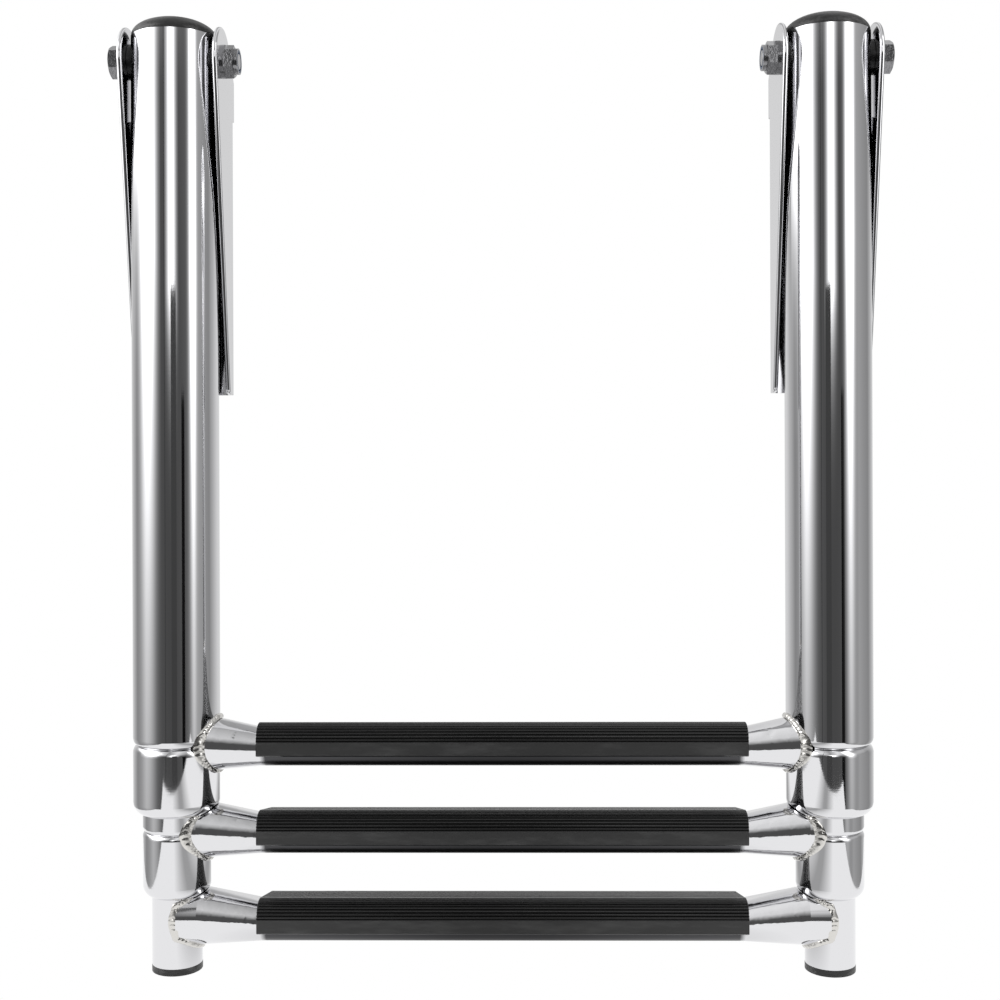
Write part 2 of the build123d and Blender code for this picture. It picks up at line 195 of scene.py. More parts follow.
# %% Studio cards
def card(name, middle, toward, width, height):
    """A flat sheet in the studio: a rectangle about its middle, turned to face a point."""
    mesh = bpy.data.meshes.new(name)
    w, h = width / 2, height / 2
    mesh.from_pydata([(-w, -h, 0), (w, -h, 0), (w, h, 0), (-w, h, 0)], [], [(0, 1, 2, 3)])
    made = bpy.data.objects.new(name, mesh)
    made.location = middle
    made.rotation_euler = (Vector(toward) - Vector(middle)).to_track_quat("Z", "Y").to_euler()
    made.visible_camera = False
    made.visible_shadow = False
    bpy.context.scene.collection.objects.link(made)
    return made


def light_tree(made):
    """Cover a sheet with a new, empty material, and give its node tree."""
    finish = bpy.data.materials.new(made.name)
    finish.use_nodes = True
    finish.node_tree.nodes.clear()
    made.data.materials.append(finish)
    return finish.node_tree


def shine(tree, strength, see_through=False):
    """White light of a strength, alone or added to what is behind the sheet."""
    light = add(tree, "ShaderNodeEmission", Color=(1, 1, 1, 1), Strength=strength).outputs[0]
    if see_through:
        clear = add(tree, "ShaderNodeBsdfTransparent").outputs[0]
        light = add(tree, "ShaderNodeAddShader", _0=light, _1=clear).outputs[0]
    add(tree, "ShaderNodeOutputMaterial", Surface=light)


def plain_card(made, grey):
    """Cover a sheet evenly with one brightness, in linear light."""
    shine(light_tree(made), grey)


def shaded_card(made, inner, outer, start, end):
    """Cover a sheet with one brightness along its middle and another past its sides. The
    distance from the middle line, |x|, carries one into the other between start and end."""
    tree = light_tree(made)
    aside = calculated(tree, "ABSOLUTE", own_place(tree)["X"])
    shine(tree, ranged(tree, aside, start, end, inner, outer))


def glow_card(made, half_width, strength, rise, most=4.0):
    """A soft light that adds to what is behind it. Its brightness is
    min(strength * exp(y * rise), most) * exp(-(x / half_width)^2): a bell curve across."""
    tree = light_tree(made)
    place = own_place(tree)
    aside = calculated(tree, "DIVIDE", place["X"], half_width)
    square = calculated(tree, "MULTIPLY", aside, aside)
    power = calculated(tree, "MULTIPLY_ADD", place["Y"], rise, math.log(strength))
    held = calculated(tree, "MINIMUM", power, math.log(most))
    both = calculated(tree, "SUBTRACT", held, square)
    shine(tree, calculated(tree, "POWER", math.e, both), see_through=True)


def in_front(x, distance, z):
    """A point in front of the rails, by its distance from their plane."""
    return (x, RAIL_Y - distance, z)


EYE = CAMERA_HEIGHT

# Soft lights and the pale wall. Each card has its middle, the point it faces, and its size.
left_light = card("left_soft_light", in_front(-1.07, 0.46, EYE), in_front(0, 0, EYE), 1.7, 2.4)
glow_card(left_light, half_width=0.40, strength=1.3, rise=4.5)
side_wall = card("left_high_wall", in_front(-1.3, -0.30, 0.5), in_front(-RAIL_X, 0, 0.1), 1.2, 1.2)
glow_card(side_wall, half_width=0.55, strength=20.0, rise=12.0, most=1.5)
right_light = card("right_soft_light", in_front(0.60, 0.44, EYE), in_front(0, 0, EYE), 0.6, 2.0)
glow_card(right_light, half_width=0.12, strength=1.6, rise=5.0)
window = card("far_window", in_front(0.0, 2.6, 0.30), in_front(0.0, 0, 0.30), 1.8, 1.7)
glow_card(window, half_width=0.46, strength=3.0, rise=11.0, most=2.2)

# Dark stands, which draw the narrow dark lines down the rails.
post = card("left_post", in_front(-0.40, 0.94, 0.3), in_front(-RAIL_X, 0, 0.3), 0.03, 2.4)
plain_card(post, 0.05)
stand = card("right_stand", in_front(1.0, 1.83, -0.53), in_front(0, 0, -0.53), 0.30, 1.1)
plain_card(stand, 0.006)
tripod = card("camera_stand", in_front(-0.03, 0.82, -0.35), in_front(0, 0, -0.35), 0.20, 0.85)
plain_card(tripod, 0.06)

# The table, which lights everything from below.
table = card("white_table", in_front(0.0, -0.05, -0.330), in_front(0.0, -0.05, 1), 0.62, 0.90)
shaded_card(table, inner=0.42, outer=1.05, start=0.02, end=0.135)

# %% [markdown]
# The room's own walls are a soft grey that depends only on direction: dark in front, behind
# the camera, lighter at the sides, and lightest behind the ladder. Overhead it is banded from
# left to right, like a row of ceiling lights. The camera itself sees plain white, as for a
# picture that is cut out for a shop page.

# %% Room and backdrop
# Pairs of place and grey level: from the camera's end to behind the ladder, and left to right.
WALL = ((0.0, 0.075), (0.12, 0.12), (0.36, 0.42), (0.50, 0.36), (0.68, 0.30), (0.95, 0.78))
CEILING = ((0.0, 0.55), (0.30, 0.95), (0.44, 0.38), (0.58, 1.0), (0.78, 0.35), (1.0, 0.75))
CEILING_FROM, CEILING_BY = 0.25, 0.6   # upward part of a direction where walls turn to ceiling


def grey_ramp(tree, value, stops):
    """A grey that a value from -1 to 1 picks on a ramp, as a colour."""
    ramp = add(tree, "ShaderNodeValToRGB", Fac=ranged(tree, value, -1.0, 1.0))
    while len(ramp.color_ramp.elements) < len(stops):
        ramp.color_ramp.elements.new(0.5)
    for stop, (place, grey) in zip(ramp.color_ramp.elements, stops):
        stop.position, stop.color = place, (grey, grey, grey, 1)
    return ramp.outputs["Color"]


world = bpy.data.worlds.new("studio_room")
world.use_nodes = True
room_tree = world.node_tree
room_tree.nodes.clear()
direction = add(room_tree, "ShaderNodeTexCoord").outputs["Generated"]
heading = add(room_tree, "ShaderNodeSeparateXYZ", _0=direction).outputs
room = blended(room_tree, ranged(room_tree, heading["Z"], CEILING_FROM, CEILING_BY),
               grey_ramp(room_tree, heading["Y"], WALL), grey_ramp(room_tree, heading["X"], CEILING))
to_camera = add(room_tree, "ShaderNodeLightPath").outputs["Is Camera Ray"]
backdrop = add(room_tree, "ShaderNodeBackground", Strength=1.0,
               Color=blended(room_tree, to_camera, room, (1, 1, 1, 1)))
add(room_tree, "ShaderNodeOutputWorld", Surface=backdrop.outputs[0])
bpy.context.scene.world = world
bpy.context.scene.view_settings.view_transform = "Standard"

# %% [markdown]
# ## The floor
#
# The floor is pale and plain and lies just below the ladder at its full length. It gives its
# own even light, so it runs into the white backdrop with no line between them, and it keeps
# out of the reflections, which have their own cards.

# %% Floor
FLOOR_Z, FLOOR_SIZE = -0.87, 8.0
floor = card("pale_floor", (0, 0, FLOOR_Z), (0, 0, 1), FLOOR_SIZE, FLOOR_SIZE)
floor.visible_camera = True
floor.visible_glossy = False
plain_card(floor, 1.0)

# %% [markdown]
# ## Polished stainless steel
#
# Marine ladders are 316 stainless steel, buffed to a mirror. The buffing wheel leaves hair
# lines a few hundredths of a millimetre wide. They are too fine to see one by one, so they are
# drawn about ten times coarser, and they only make the edges of reflections tremble. Faint
# wipe marks, some centimetres long, change how sharp the mirror is.

# %% Polished steel
WIPES_PER_METRE = (25, 25, 8)
WIPES_RANGE = (0.35, 0.7)      # of the noise, from the sharpest mirror to the dullest
# The dark grey #505052 is painted shade for the rung's steel under the tread; only the roughness there
# is its mill finish.
POLISHED_STEEL, UNDER_TREAD_PAINTED_SHADE, MILL_ROUGHNESS = "#E0E0E2", "#505052", 0.30


def noise(tree, per_metre, **settings):
    """Noise fixed to the object, with so many blobs in a metre along each axis."""
    place = add(tree, "ShaderNodeTexCoord").outputs["Object"]
    spread = add(tree, "ShaderNodeMapping", Vector=place, Scale=per_metre).outputs["Vector"]
    return add(tree, "ShaderNodeTexNoise", Vector=spread, Scale=1.0, **settings).outputs["Fac"]


def dress(tree, shader, height, depth, roughness):
    """Give a shader its relief, from a height between 0 and 1 and a depth, and its roughness."""
    relief = add(tree, "ShaderNodeBump", Height=height, Distance=depth, Strength=1.0)
    tree.links.new(relief.outputs["Normal"], shader.inputs["Normal"])
    tree.links.new(roughness, shader.inputs["Roughness"])


def polished(name, hex_colour, grain, grain_depth, sharp, dull):
    """Buffed steel. grain is how many hair lines fall in a metre along each axis, grain_depth
    their depth in metres, and sharp and dull are the two ends of the roughness."""
    made, tree, shader = material(name, hex_colour, sharp, 1.0)
    wipes = noise(tree, WIPES_PER_METRE, Detail=3.0)
    dress(tree, shader, noise(tree, grain, Detail=2.0, Roughness=0.6), grain_depth,
          ranged(tree, wipes, *WIPES_RANGE, sharp, dull))
    return made


# Rails turn in the buffing machine, so their hair lines run round them: many along Z.
rail_steel = polished("buffed_316_stainless_rail", POLISHED_STEEL, (60, 60, 2600), 1.2e-6,
                      sharp=0.035, dull=0.075)
# Rungs are buffed lengthwise before they are welded in: many lines across, few along X.
rung_steel = polished("buffed_316_stainless_rung", POLISHED_STEEL, (60, 2200, 2200), 1.6e-6,
                      sharp=0.04, dull=0.10)

# The press leaves the flattened stretch dull, and the buffing wheel stops where the tread will cover
# it. So between the tread's ends the steel keeps a rougher mill finish, and its colour there is
# darkened to a grey: painted shade, for the shade under the tread.
BUFFED_FROM, BUFFED_BY = 0.1035, 0.1060     # distance along X from the middle of the rung
rung_tree = rung_steel.node_tree
rung_shader = rung_tree.nodes["Principled BSDF"]
from_middle = calculated(rung_tree, "ABSOLUTE", own_place(rung_tree)["X"])
buffed = ranged(rung_tree, from_middle, BUFFED_FROM, BUFFED_BY)
# Painted shade: dark grey between the tread's ends, polished steel colour beyond them.
skin = blended(rung_tree, buffed, linear(UNDER_TREAD_PAINTED_SHADE), linear(POLISHED_STEEL))
dullness = add(rung_tree, "ShaderNodeMix", {"data_type": "FLOAT"}, _0=buffed, _2=MILL_ROUGHNESS,
               _3=rung_shader.inputs["Roughness"].links[0].from_socket)
rung_tree.links.new(skin, rung_shader.inputs["Base Color"])
rung_tree.links.new(dullness.outputs[0], rung_shader.inputs["Roughness"])

# Brackets are cut from bright rolled sheet and folded. The rolling lines run up and down.
bracket_steel = polished("bright_rolled_stainless_sheet", "#DCDCDE", (1800, 1800, 50), 1.5e-6,
                         sharp=0.05, dull=0.12)
# Bolts and nuts are cold forged and tumbled, which leaves a darker, finely dented skin.
fastener_steel = polished("tumbled_a4_stainless_fastener", "#8C8C8E", (900, 900, 900), 1.2e-4,
                          sharp=0.10, dull=0.22)
# A weld bead is cast metal: bright, a little warm, and finely dented all over.
weld_steel = polished("tig_weld_bead_stainless", "#D6D4D0", (900, 900, 900), 9e-5,
                      sharp=0.08, dull=0.22)

# %% [markdown]
# ## Plastics
#
# The treads are extruded from black PVC, and the caps and feet are moulded in polyethylene.
# All have a fine leathery grain, from a third of a millimetre across on the treads to nearly
# one on the caps. It breaks the light into a soft sheen. They are scuffed a little greyer
# where hands and feet rub. The bushes are dark acetal, and the guides inside are pale nylon.

# %% Moulded plastics
SCUFFS_PER_METRE = (30, 160, 160)
PALER_RANGE, ROUGHER_RANGE = (0.5, 0.75), (0.3, 0.7)    # of the noise, from clean to scuffed


def moulded(name, dark, scuffed, grain_mm, grain_depth, smooth, rough, stretch=(1, 1, 1)):
    """Plastic with a grain of dimples and with scuffs that are paler and rougher. grain_mm is
    how wide a dimple is, grain_depth its depth in metres, and stretch squeezes or draws the
    grain along each axis."""
    made, tree, shader = material(name, dark, smooth)
    rubbed = noise(tree, SCUFFS_PER_METRE, Detail=5.0, Roughness=0.7)
    colour = blended(tree, ranged(tree, rubbed, *PALER_RANGE), linear(dark), linear(scuffed))
    tree.links.new(colour, shader.inputs["Base Color"])
    grain = noise(tree, [share / (grain_mm * MM) for share in stretch], Detail=2.0)
    dress(tree, shader, grain, grain_depth, ranged(tree, rubbed, *ROUGHER_RANGE, smooth, rough))
    return made


tread_plastic = moulded("extruded_black_pvc_tread", "#030303", "#070707", 0.35, 9e-6, 0.14, 0.30,
                        stretch=(0.25, 1, 1))
band_plastic = moulded("rubbed_black_pvc_front_band", "#262626", "#3E3E3E", 0.3, 2.2e-5, 0.36, 0.5)
cap_plastic = moulded("moulded_black_polyethylene_cap", "#141414", "#585858", 0.9, 1.6e-4, 0.28, 0.5)
bush_plastic = moulded("moulded_dark_acetal_bush", "#0C0C0C", "#181818", 0.4, 1e-5, 0.30, 0.42)
guide_nylon = moulded("moulded_natural_nylon_guide", "#D8D5CA", "#E4E1D8", 0.5, 8e-6, 0.35, 0.5)
insert_nylon = moulded("moulded_blue_nylon_insert", "#20344E", "#2C425E", 0.4, 5e-6, 0.35, 0.5)

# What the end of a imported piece's name says of its finish.
FINISHES = {"rail": rail_steel, "rung": rung_steel, "bracket": bracket_steel, "weld": weld_steel,
            "pivot_bolt": fastener_steel, "head_washer": fastener_steel, "nut_washer": fastener_steel,
            "lock_nut": fastener_steel, "lock_insert": insert_nylon, "bush": bush_plastic,
            "guide": guide_nylon, "glide": guide_nylon, "top_cap": cap_plastic, "foot": cap_plastic,
            "tread": tread_plastic}
for name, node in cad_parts.items():
    finish = next(made for ending, made in FINISHES.items() if name.endswith(ending))
    node.data.materials.clear()
    node.data.materials.append(finish)
print("finished", len(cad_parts), "packed pieces")

# %% [markdown]
# ## A surface from a grid
#
# Most pieces below are worked out as one array of points: rows along the piece, columns round
# its section. One helper joins neighbours with squares, wraps the grid round where it closes,
# and makes the mesh.

# %% Grid meshes
def quads(rows, columns, wrap_rows=False, wrap_columns=False):
    """Corner numbers of the squares between neighbours on a grid of points."""
    r = np.arange(rows if wrap_rows else rows - 1)[:, None]
    c = np.arange(columns if wrap_columns else columns - 1)[None, :]
    r2, c2 = (r + 1) % rows, (c + 1) % columns
    corners = [r * columns + c, r * columns + c2, r2 * columns + c2, r2 * columns + c]
    return np.stack([np.broadcast_to(k, (r.size, c.size)) for k in corners], -1).reshape(-1, 4)


def piece(name, points, faces, finish, body, replaced, sharp_degrees=40):
    """A new piece from its points and squares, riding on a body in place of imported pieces."""
    mesh = bpy.data.meshes.new(name)
    mesh.from_pydata(points.reshape(-1, 3).tolist(), [], faces.tolist())
    turned_out = bmesh.new()
    turned_out.from_mesh(mesh)
    bmesh.ops.recalc_face_normals(turned_out, faces=turned_out.faces)
    turned_out.to_mesh(mesh)
    turned_out.free()
    mesh.materials.append(finish)
    mesh.polygons.foreach_set("use_smooth", np.ones(len(mesh.polygons), bool))
    mesh.set_sharp_from_angle(angle=math.radians(sharp_degrees))
    made = bpy.data.objects.new(name, mesh)
    bpy.context.scene.collection.objects.link(made)
    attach(made, body)
    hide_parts(*replaced)
    print(name, len(mesh.polygons), "faces")
    return made


# %% [markdown]
# ## The treads
#
# Each tread is one length of extrusion that snaps over the flattened rung. Its section is a
# letter C: a smooth band down the front, a round nose with nine ribs for bare feet to feel, a
# flat top with fine ribs that leans down towards the boat, and two lips that hold on below.
# The outside is a path in the Y-Z plane with the ribs pressed into it. The inside follows the
# steel. The two paths are joined point for point, which closes the square-cut ends too. The
# section is drawn in millimetres from the rung's axis.

# %% The tread's section
TREAD_TILT = math.radians(12)
FLAT_DROP = 2.0                # flattened rung's centre below its round ends' centre
FLAT_RADIUS = 8.1
FLAT_REACH = math.pi * (RUNG_RADIUS_MM - FLAT_RADIUS) / 2   # pressing keeps the tube's girth
FLAT_HALF_DEPTH = FLAT_RADIUS + FLAT_REACH
COVER = 2.2                    # tread's thickness over the steel
FRONT = FLAT_HALF_DEPTH + COVER
BAND_TOP, BAND_BOTTOM = 3.6, -2.9
NOSE_DEPTH = 8.9               # from the front face back to where the flat top starts
NOSE_PULL = ((0.0, -2.4), (3.0, 0.6))   # nose's two handles: behind the front, above the top's start
REAR = FLAT_HALF_DEPTH + 5.57
LIP = -4.5                     # lips' lower edges, in the flattened rung's leaning frame
LIP_REACH = 1.0                # front lip's edge, behind the flattened rung's front
NOSE_RIBS, NOSE_RIB_DEPTH, NOSE_RIB_POINTS = 9, 0.5, 14
TOP_RIB_PITCH, TOP_RIB_DEPTH, TOP_RIB_POINTS = 1.25, 0.28, 10
BAND_CUT = (0.3, -0.2, 0.25)   # corner under the band: how deep, and from where to where in height
REAR_CUT, REAR_DROP = 0.3, 0.4      # corner at the rear lip, and the one at the top's rear end
FRONT_STEP, REAR_STEP = 0.5, 0.8    # between points where there are no ribs


def leaning(along, up):
    """A point of the flattened rung's own leaning frame, as Y and Z from the rung's centre."""
    c, s = math.cos(TREAD_TILT), math.sin(TREAD_TILT)
    return np.stack([along * c + up * s, -along * s + up * c - FLAT_DROP], -1)


def steps_between(start, end, spacing):
    """Points about evenly spaced on a straight line, without its end."""
    start, end = np.asarray(start, float), np.asarray(end, float)
    count = max(2, int(np.linalg.norm(end - start) / spacing))
    return start + (end - start) * np.linspace(0, 1, count, endpoint=False)[:, None]


def groove(phase, fullness=3):
    """0 on a rib's crest and 1 in the groove, once each whole turn of phase:
    ((1 + cos(2 pi phase)) / 2) ^ fullness, so crests are wide and grooves narrow."""
    return ((1 + np.cos(2 * np.pi * phase)) / 2) ** fullness


def pressed(path, depth):
    """Move each point of a path inwards by its own depth, at right angles to the path."""
    along = np.gradient(path, axis=0)
    along /= np.linalg.norm(along, axis=1)[:, None]
    return path + np.stack([along[:, 1], -along[:, 0]], -1) * depth[:, None]


def tread_outside():
    """Outer path from the front lip, up the band, over the nose and top, to the rear lip. The
    top is the line z = top / c - drop - y s / c, with c and s of the tilt. The nose is a Bezier
    curve, and one rib's pitch is left plain at the start of the top and two at its end."""
    top = FLAT_RADIUS + COVER
    c, s = math.cos(TREAD_TILT), math.sin(TREAD_TILT)
    corner_y = -(FRONT - NOSE_DEPTH)
    corner = np.array([corner_y, top / c - FLAT_DROP - corner_y * s / c])
    rear_up = top / c - FLAT_DROP - REAR * s / c
    rear_along = REAR * c - (rear_up + FLAT_DROP) * s
    cut_depth, cut_low, cut_high = BAND_CUT
    lip = steps_between(leaning(-FLAT_HALF_DEPTH + LIP_REACH, LIP),
                        (-FRONT + cut_depth, BAND_BOTTOM + cut_low), FRONT_STEP)
    band = steps_between((-FRONT, BAND_BOTTOM + cut_high), (-FRONT, BAND_TOP), FRONT_STEP)
    t = np.linspace(0, 1, NOSE_RIB_POINTS * NOSE_RIBS, endpoint=False)[:, None]
    handles = np.array(NOSE_PULL) + (-FRONT, corner[1])
    nose = ((1 - t) ** 3 * (-FRONT, BAND_TOP) + 3 * t * (1 - t) ** 2 * handles[0]
            + 3 * t * t * (1 - t) * handles[1] + t ** 3 * corner)
    length = np.concatenate([[0], np.cumsum(np.linalg.norm(np.diff(nose, axis=0), axis=1))])
    nose = pressed(nose, NOSE_RIB_DEPTH * groove(length / length[-1] * NOSE_RIBS))
    top_length = rear_along - (corner[0] * c - (corner[1] + FLAT_DROP) * s)
    flat = steps_between(corner, (REAR, rear_up), TOP_RIB_PITCH / TOP_RIB_POINTS)
    run = np.linspace(0, top_length, len(flat), endpoint=False)
    ribbed = (run > TOP_RIB_PITCH) & (run < top_length - 2 * TOP_RIB_PITCH)
    flat = pressed(flat, np.where(ribbed, TOP_RIB_DEPTH * groove(run / TOP_RIB_PITCH, 2), 0))
    rear = steps_between(leaning(rear_along, top - REAR_DROP),
                         leaning(rear_along, LIP + REAR_CUT), REAR_STEP)
    under = steps_between(leaning(rear_along - REAR_CUT, LIP), leaning(FLAT_HALF_DEPTH, LIP), REAR_STEP)
    return np.concatenate([lip, band, nose, flat, rear, under])


def tread_inside(count):
    """Inner path along the flattened rung: a half circle, a straight, and a half circle,
    with as many points as the outer path."""
    radius = FLAT_RADIUS
    down = math.asin(-LIP / radius)
    first = radius * (down + math.pi / 2)
    run = np.linspace(0, 2 * first + 2 * FLAT_REACH, count)
    turn = np.where(run < first, run / radius - down,
                    np.where(run > first + 2 * FLAT_REACH,
                             np.pi / 2 + (run - first - 2 * FLAT_REACH) / radius, np.pi / 2))
    slide = np.clip(run - first, 0, 2 * FLAT_REACH) - FLAT_REACH
    return leaning(slide - radius * np.cos(turn), radius * np.sin(turn))


outer_path = tread_outside()
inner_path = tread_inside(len(outer_path))
print("tread section", len(outer_path), "points a side,", NOSE_RIBS, "nose ribs")


# %% Tread pieces
END_EASE = 0.25                # millimetres, at the tread's two cut ends
BAND_NEAR = 0.1                # a face this close to the front plane belongs to the band


def points_of_faces(mesh):
    """The middle of each face of a mesh, as one array."""
    middles = np.zeros(3 * len(mesh.polygons))
    mesh.polygons.foreach_get("center", middles)
    return middles.reshape(-1, 3)


def tread_piece(step):
    """The section carried along X, a little smaller at both ends, where the cut is eased."""
    low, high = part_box(f"{step}_tread")
    stations = np.array([low.x, low.x + END_EASE * MM, high.x - END_EASE * MM, high.x])
    loops = []
    for x, shrink in zip(stations, (END_EASE / COVER, 0, 0, END_EASE / COVER)):
        outer = outer_path + (inner_path - outer_path) * shrink
        ring = np.concatenate([outer, inner_path[::-1]]) * MM
        loops.append(np.column_stack([np.full(len(ring), x), ring + (RAIL_Y, RUNG_Z[step])]))
    points = np.stack(loops)
    count, half = points.shape[1], len(outer_path)
    faces = quads(len(stations), count, wrap_columns=True)
    i = np.arange(half - 1)
    start = np.stack([i, i + 1, count - 2 - i, count - 1 - i], -1)
    end = start[:, ::-1] + (len(stations) - 1) * count
    made = piece(f"{step}_ribbed_tread", points, np.concatenate([faces, start, end]), tread_plastic,
                 BODY_OF[step], [f"{step}_tread"], sharp_degrees=35)
    made.data.materials.append(band_plastic)
    middles = points_of_faces(made.data)
    on_band = ((middles[:, 1] < RAIL_Y - (FRONT - BAND_NEAR) * MM)
               & (middles[:, 2] < RUNG_Z[step] + BAND_TOP * MM))
    made.data.polygons.foreach_set("material_index", on_band.astype(np.int32))


for step in STEPS:
    tread_piece(step)

# %% [markdown]
# ## The weld beads
#
# Each rung is welded to its rails by hand, all the way round. The welder dips the rod every
# two millimetres or so, and each dip freezes as a small crescent, so the bead looks like
# a row of coins pushed over. The joint is a saddle curve, where a level tube runs into an
# upright one. A section is carried along it: one foot on the rung, one on the rail, and a
# hump between them that swells with each dip. The joint is shallow at the front and back, so
# the bead spreads there. Where a wider rail ends just above, the bead is held down under its
# rolled-in end, as the grinder would leave it.

# %% Weld beads
DIP_PITCH = 2.3 * MM
RUNG_FOOT, RAIL_FOOT = 1.5 * MM, 1.6 * MM
FRONT_SPREAD = 2.6 * MM        # what the rail's foot gains at the very front and back
HUMP, DIP_DEPTH = 0.58 * MM, 0.18 * MM
SUNK = 0.2 * MM                # how far the bead's feet lie inside the steel
FILL = 0.7 * SUNK              # what lifts the middle of the section back out of the steel
BURIED = 0.5 * MM              # how deep the inner corner of the bead's section lies
CRESCENT = 0.45                # how far the middle of a dip runs ahead of its ends, in dips
# The hand's unsteadiness as waves round the joint: height, waves in one turn, and where they start.
WANDER = ((0.30, 5, 0), (0.22, 11, 1))          # of the dips along the bead, in dips
SWELLING = ((0.18, 7, 2), (0.12, 16, 0))        # of the hump, as a share of it
ROLL_RADIUS, ROLL_GAP = 5.5 * MM, 0.4 * MM      # of a rail's rolled-in end, and the air under it
RAIL_ABOVE = {"upper": None, "middle": "outer", "lower": "middle"}

# From the rail's axis to where the flattened stretch starts, 2 mm inside the tread's end, and
# to where the rung is fully round, 0.1 mm inside the inner rail's surface.
TREAD_OVERHANG, ROUND_INSET = 2 * MM, 0.1 * MM
FLAT_OFFSET = RAIL_X - reach("upper_tread", 0)[1] + TREAD_OVERHANG
ROUND_OFFSET = RADIUS["inner"] - ROUND_INSET
NEAREST = 2 * MM               # a joint's least distance from the rail's axis
HALVES_SHARPNESS = 8           # how quickly the outline goes from one half circle to the other
ROUNDS = 8                     # enough for the joint to settle


def unit(vectors):
    """Vectors of the same directions and of length 1."""
    return vectors / np.linalg.norm(vectors, axis=-1, keepdims=True)


def waves(turn, terms):
    """The sum of height * sin(times * turn + start) over the terms."""
    return sum(height * np.sin(times * turn + start) for height, times, start in terms)


def saddle(radius, count):
    """The joint of a rung and a rail, from the rail's axis, with X pointing along the rung.
    The rung's outline is two half circles of radius r, a reach apart each way, leaning and
    dropped, and all three run straight from the round end to the flattened stretch. A joint
    point lies on it at x = sqrt(max(R^2 - y^2, nearest^2)), found by going round a few times.
    Also gives the rung's and the rail's outward directions there."""
    turn = np.linspace(0, 2 * np.pi, count, endpoint=False)
    c, s = math.cos(TREAD_TILT), math.sin(TREAD_TILT)
    x = np.full(count, radius)
    for _ in range(ROUNDS):
        share = (FLAT_OFFSET - np.maximum(x, ROUND_OFFSET)) / (FLAT_OFFSET - ROUND_OFFSET)
        r = FLAT_RADIUS * MM + share * (ROUND_RADIUS - FLAT_RADIUS * MM)
        half = np.clip(HALVES_SHARPNESS * np.cos(turn), -1, 1)
        along = r * np.cos(turn) + FLAT_REACH * MM * (1 - share) * half
        up = r * np.sin(turn)
        y, z = along * c + up * s, up * c - along * s - FLAT_DROP * MM * (1 - share)
        x = np.sqrt(np.maximum(radius ** 2 - y ** 2, NEAREST ** 2))
    rung_out = np.column_stack([0 * y, np.cos(turn) * c + np.sin(turn) * s,
                                np.sin(turn) * c - np.cos(turn) * s])
    rail_out = unit(np.column_stack([x, y, 0 * y]))
    return np.column_stack([x, y, z]), rung_out, rail_out


def weld_points(step, count=520, across=13):
    """Grid of the bead: rows along the saddle, columns from the rung's foot over the hump to
    the rail's foot, and one last column buried in the corner. The rail's foot spreads as
    (|y| / rung's radius)^8. The hump goes as sin(pi u)^0.7 from foot to foot, less a groove
    |cos(pi phase)|^3 between dips, and slow waves make the hand unsteady."""
    radius = RADIUS[RAIL_OF[step]]
    path, rung_out, rail_out = saddle(radius, count)
    ahead = unit(np.roll(path, -1, 0) - np.roll(path, 1, 0))
    length = np.cumsum(np.linalg.norm(np.roll(path, -1, 0) - path, axis=1))
    dips = round(length[-1] / DIP_PITCH)
    along_rung = np.array([1.0, 0, 0])
    up_rail = np.cross(ahead, rail_out)
    up_rail *= np.sign(np.sum(up_rail * (rung_out - along_rung), -1, keepdims=True))
    spread = RAIL_FOOT + FRONT_SPREAD * np.minimum(np.abs(path[:, 1:2]) / ROUND_RADIUS, 1) ** 8
    rung_foot = path + along_rung * RUNG_FOOT - rung_out * SUNK
    rail_foot = path + up_rail * spread
    flat_out = np.linalg.norm(rail_foot[:, :2], axis=1, keepdims=True)
    rail_foot[:, :2] *= (radius - SUNK) / flat_out
    u = np.linspace(0, 1, across)[None, :, None]
    swell = np.sin(np.pi * u)
    turn = 2 * np.pi * (length / length[-1])[:, None, None]
    phase = turn / (2 * np.pi) * dips + CRESCENT * swell + waves(turn, WANDER)
    ripple = HUMP * (1 + waves(turn, SWELLING)) - DIP_DEPTH * np.abs(np.cos(np.pi * phase)) ** 3
    corner_out = unit(rung_out + rail_out)
    hump = (rung_foot[:, None] * (1 - u) + rail_foot[:, None] * u
            + corner_out[:, None] * (FILL + ripple) * swell ** 0.7)
    buried = path - corner_out * BURIED
    return np.concatenate([hump, buried[:, None]], 1), dips


def held_under(points, rail_above, rung_z):
    """Keep points below the rolled-in end of the rail above: its lowest height at distance r
    from the axis is bottom + a - sqrt(a^2 - (r - R + a)^2), with a the roll's radius."""
    if rail_above is None:
        return points
    wide, bottom = RADIUS[rail_above], SPAN[rail_above][0] - rung_z
    r = np.linalg.norm(points[..., :2], axis=-1)
    into = np.clip(r - wide + ROLL_RADIUS, 0, ROLL_RADIUS)
    limit = bottom + ROLL_RADIUS - np.sqrt(ROLL_RADIUS ** 2 - into ** 2) - ROLL_GAP
    z = points[..., 2]
    points[..., 2] = np.where(r <= wide + ROLL_GAP, np.minimum(z, limit), z)
    return points


for step in STEPS:
    bead, dips = weld_points(step)
    bead = held_under(bead, RAIL_ABOVE[step], RUNG_Z[step])
    for side, sign in SIDES.items():
        points = bead * (-sign, 1, 1) + (sign * RAIL_X, RAIL_Y, RUNG_Z[step])
        piece(f"{side}_{step}_weld_bead", points, quads(*bead.shape[:2], True, True), weld_steel,
              BODY_OF[step], [f"{side}_{step}_weld"])
    print(step, "bead has", dips, "dips")

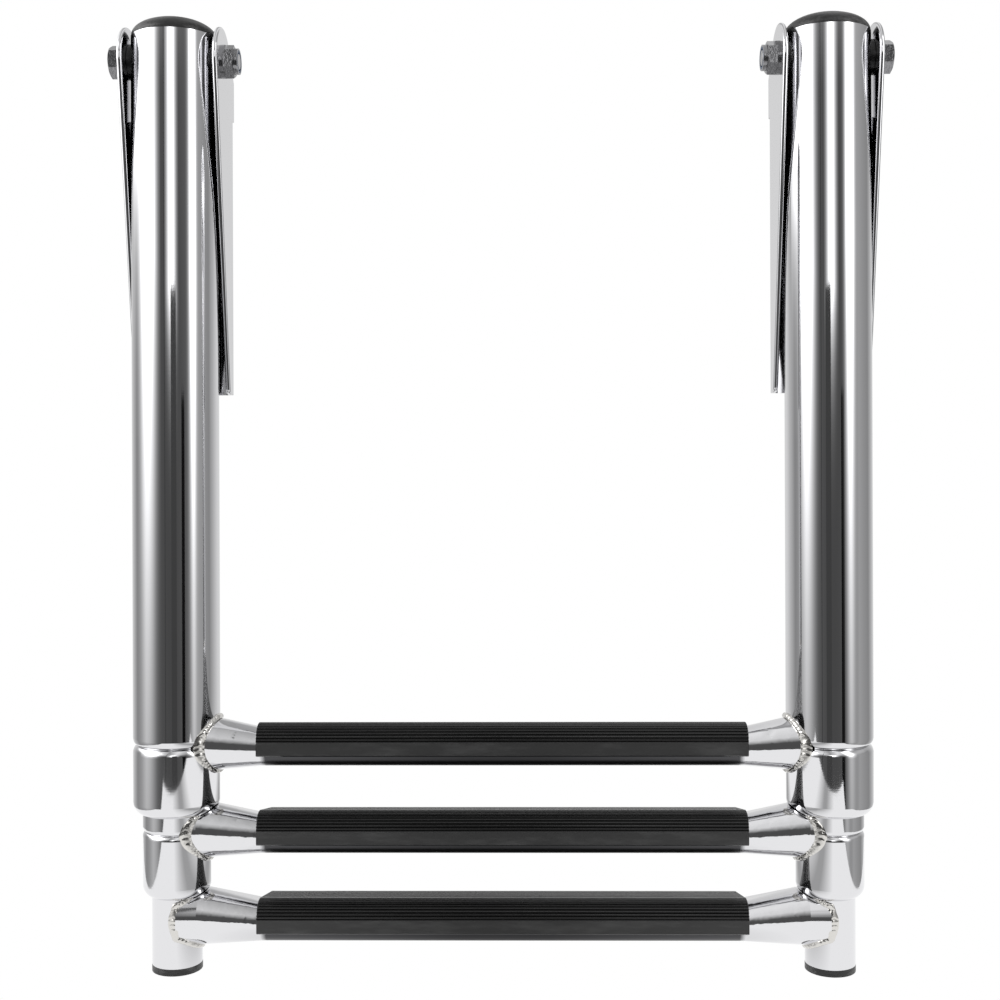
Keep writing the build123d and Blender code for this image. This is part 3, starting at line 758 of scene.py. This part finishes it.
# %% [markdown]
# ## The brackets
#
# Each bracket is one folded plate, and its cut edges are rounded on a belt so that they do not
# cut a hand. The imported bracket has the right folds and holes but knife-sharp edges, and a
# sharp edge on a mirror shows no glint. So a merged copy gets its cheeks' outer edges rounded,
# from in front of the fold and clear of the bolt's hole, and the copy stands in for it.

# %% Eased bracket edges
EDGE_EASE, EASE_SEGMENTS = 0.95 * MM, 3
EDGE_ANGLE = math.radians(40)  # a cut edge turns more than this, and a curve's facets less
FOLD_PLANE = -4 * MM           # edges behind this belong to the fold and the web, and stay
HOLE_KEEP = 6 * MM             # edges this near the bolt's axis are its hole's, and stay
MERGE, FLAT_ANGLE = 1e-6, math.radians(1)       # what counts as one point, and as one flat face
SHADE_ANGLE = math.radians(35)                  # sharper edges than this aren't shaded over


def eased_bracket(side):
    """A merged copy of a packed bracket, its flat faces joined and its outer edges rounded."""
    name = f"{side}_eased_bracket"
    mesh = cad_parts[f"{side}_bracket"].data.copy()
    mesh.name = name
    whole = bmesh.new()
    whole.from_mesh(mesh)
    bmesh.ops.remove_doubles(whole, verts=whole.verts, dist=MERGE)
    bmesh.ops.dissolve_limit(whole, angle_limit=FLAT_ANGLE, verts=whole.verts, edges=whole.edges)
    bolt = centre(f"{side}_pivot_bolt")

    def outer_edge(edge):
        middle = (edge.verts[0].co + edge.verts[1].co) / 2
        from_hole = math.hypot(middle.y - bolt.y, middle.z - bolt.z)
        return (edge.is_manifold and edge.calc_face_angle(0) > EDGE_ANGLE
                and middle.y < FOLD_PLANE and from_hole >= HOLE_KEEP)

    outer = [edge for edge in whole.edges if outer_edge(edge)]
    bmesh.ops.bevel(whole, geom=outer, offset=EDGE_EASE, segments=EASE_SEGMENTS, profile=0.5,
                    affect="EDGES", clamp_overlap=False)
    whole.to_mesh(mesh)
    whole.free()
    mesh.polygons.foreach_set("use_smooth", np.ones(len(mesh.polygons), bool))
    mesh.set_sharp_from_angle(angle=SHADE_ANGLE)
    made = bpy.data.objects.new(name, mesh)
    bpy.context.scene.collection.objects.link(made)
    made.modifiers.new("weighted_normals", "WEIGHTED_NORMAL").keep_sharp = True
    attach(made, "brackets")
    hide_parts(f"{side}_bracket")
    print(name, len(outer), "edges eased,", len(mesh.polygons), "faces")


for side in SIDES:
    eased_bracket(side)
